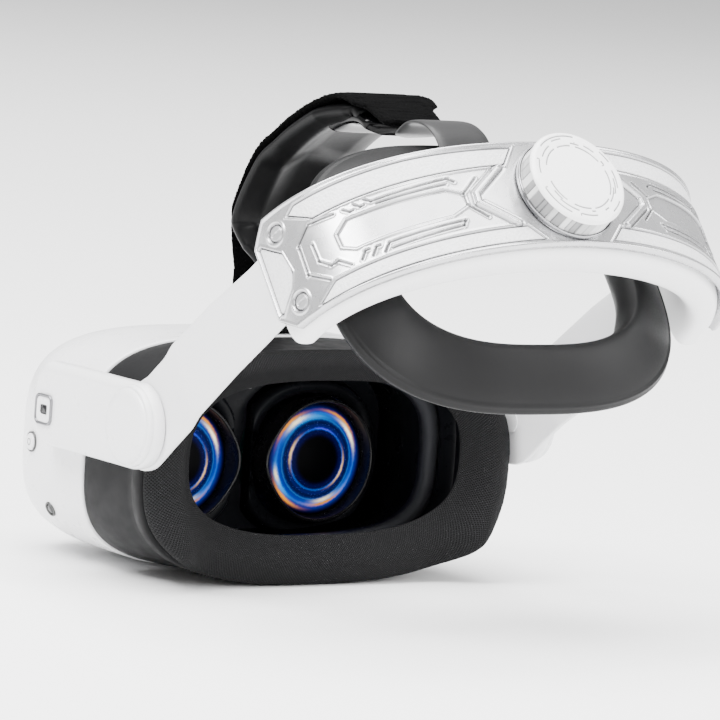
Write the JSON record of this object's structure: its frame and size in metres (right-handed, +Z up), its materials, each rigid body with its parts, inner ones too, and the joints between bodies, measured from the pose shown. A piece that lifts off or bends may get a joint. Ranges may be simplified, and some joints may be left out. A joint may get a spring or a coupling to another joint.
{
  "type": "virtual reality headset",
  "caption": "Head-worn display with twin lenses, a knit face pad, flat side arms, a rigid rear band with a fitting dial, a head cradle and a padded top strap.",
  "frame": {"origin": "centre of the bounding box at the surface that the visor stands on", "axes": "+Z up, +Y to the back of the wearer's head, +X to the wearer's left"},
  "size_m": [0.1962, 0.2778, 0.1944],
  "materials": {
    "shell_white": "satin gloss",
    "arm_white": "satin",
    "camera_glass": "gloss black",
    "frame_grey": "matte",
    "pad_fabric": "knit",
    "lens_glass": "tinted gloss",
    "display_black": "gloss",
    "board": "satin",
    "battery_foil": "satin",
    "steel": "satin",
    "liner_white": "fine grain",
    "cover_silver": "silver satin paint",
    "trim_pearl": "fine texture",
    "dial_white": "gloss",
    "bezel_chrome": "polished",
    "cradle_leather": "smooth",
    "strap_fabric": "brushed loop fabric",
    "strap_liner": "smooth"
  },
  "bodies": {
    "visor": {"battery": "battery_foil", "cooling_fan": "frame_grey", "face_pad": "pad_fabric", "front_camera_left": "camera_glass", "front_camera_right": "camera_glass", "front_shell": "shell_white", "hinge_cap_left": "shell_white", "hinge_cap_right": "shell_white", "lens_baffle": "frame_grey", "main_board": "board", "mid_frame": "frame_grey", "pad_carrier": "frame_grey", "pivot_pin_left": "steel", "pivot_pin_right": "steel", "pod_left": "shell_white", "pod_right": "shell_white", "port_bezel": "shell_white", "proximity_sensor": "frame_grey", "side_camera_left": "camera_glass", "side_camera_right": "camera_glass", "strap_anchor": "frame_grey", "top_strap_fabric": "strap_fabric", "top_strap_liner": "strap_liner"},
    "strap_arms": {"arm_left": "arm_white", "arm_right": "arm_white"},
    "rear_band": {"band_liner": "liner_white", "band_cover": "cover_silver", "trim_upper_left": "trim_pearl", "trim_upper_right": "trim_pearl", "trim_lower_left": "trim_pearl", "trim_lower_right": "trim_pearl", "end_plate_left": "trim_pearl", "end_plate_right": "trim_pearl", "screw_upper_left": "steel", "screw_upper_right": "steel", "screw_lower_left": "steel", "screw_lower_right": "steel", "dial_bezel": "bezel_chrome", "cradle_ring": "cradle_leather", "cradle_mount_left": "frame_grey", "cradle_mount_right": "frame_grey", "rear_tab": "cradle_leather", "strap_buckle": "frame_grey"},
    "dial": {"fit_dial": "dial_white", "pinion": "steel"},
    "left_rack": {"rack_left": "steel"},
    "right_rack": {"rack_right": "steel"},
    "left_eye": {"lens_barrel_left": "frame_grey", "lens_left": "lens_glass", "display_left": "display_black"},
    "right_eye": {"lens_barrel_right": "frame_grey", "lens_right": "lens_glass", "display_right": "display_black"},
    "button": {"power_button": "shell_white"},
    "rocker": {"volume_rocker": "shell_white"}
  },
  "joints": [
    {"name": "strap_pitch", "type": "hinge", "parent": "visor", "child": "strap_arms", "pos_m": [0, -0.0151, 0.0645], "axis": [1, 0, 0], "range_deg": [-38, 30], "deforming": ["top_strap_fabric", "top_strap_liner"]},
    {"name": "band_slide", "type": "slide", "parent": "strap_arms", "child": "rear_band", "axis": [0, 0.7771, 0.6293], "range_m": [-0.011, 0.006]},
    {"name": "dial_turn", "type": "hinge", "parent": "rear_band", "child": "dial", "pos_m": [0, 0.11842, 0.16826], "axis": [0, 0.7771, 0.6293], "range_deg": [-120, 60]},
    {"name": "left_rack_slide", "type": "slide", "parent": "rear_band", "child": "left_rack", "axis": [1, 0, 0], "range_m": [-0.0125, 0.0065]},
    {"name": "right_rack_slide", "type": "slide", "parent": "rear_band", "child": "right_rack", "axis": [-1, 0, 0], "range_m": [-0.0125, 0.0065]},
    {"name": "left_eye_slide", "type": "slide", "parent": "visor", "child": "left_eye", "axis": [1, 0, 0], "range_m": [-0.003, 0.003]},
    {"name": "right_eye_slide", "type": "slide", "parent": "visor", "child": "right_eye", "axis": [-1, 0, 0], "range_m": [-0.0032, 0.0032]},
    {"name": "power_press", "type": "slide", "parent": "visor", "child": "button", "axis": [-1, 0, 0], "range_m": [0, 0.0007], "stiffness_N_per_m": 500, "springref_m": -0.0006},
    {"name": "volume_tilt", "type": "hinge", "parent": "visor", "child": "rocker", "pos_m": [0, -0.1019, 0.0032], "axis": [0, 1, 0], "range_deg": [-2.5, 2.5], "stiffness_Nm_per_rad": 0.06}
  ],
  "couplings": [
    {"joint": "dial_turn", "follows": "band_slide", "rad_per_m": 166.67},
    {"joint": "left_rack_slide", "follows": "band_slide", "ratio": 1},
    {"joint": "right_rack_slide", "follows": "band_slide", "ratio": 1},
    {"joint": "right_eye_slide", "follows": "left_eye_slide", "ratio": 1}
  ]
}
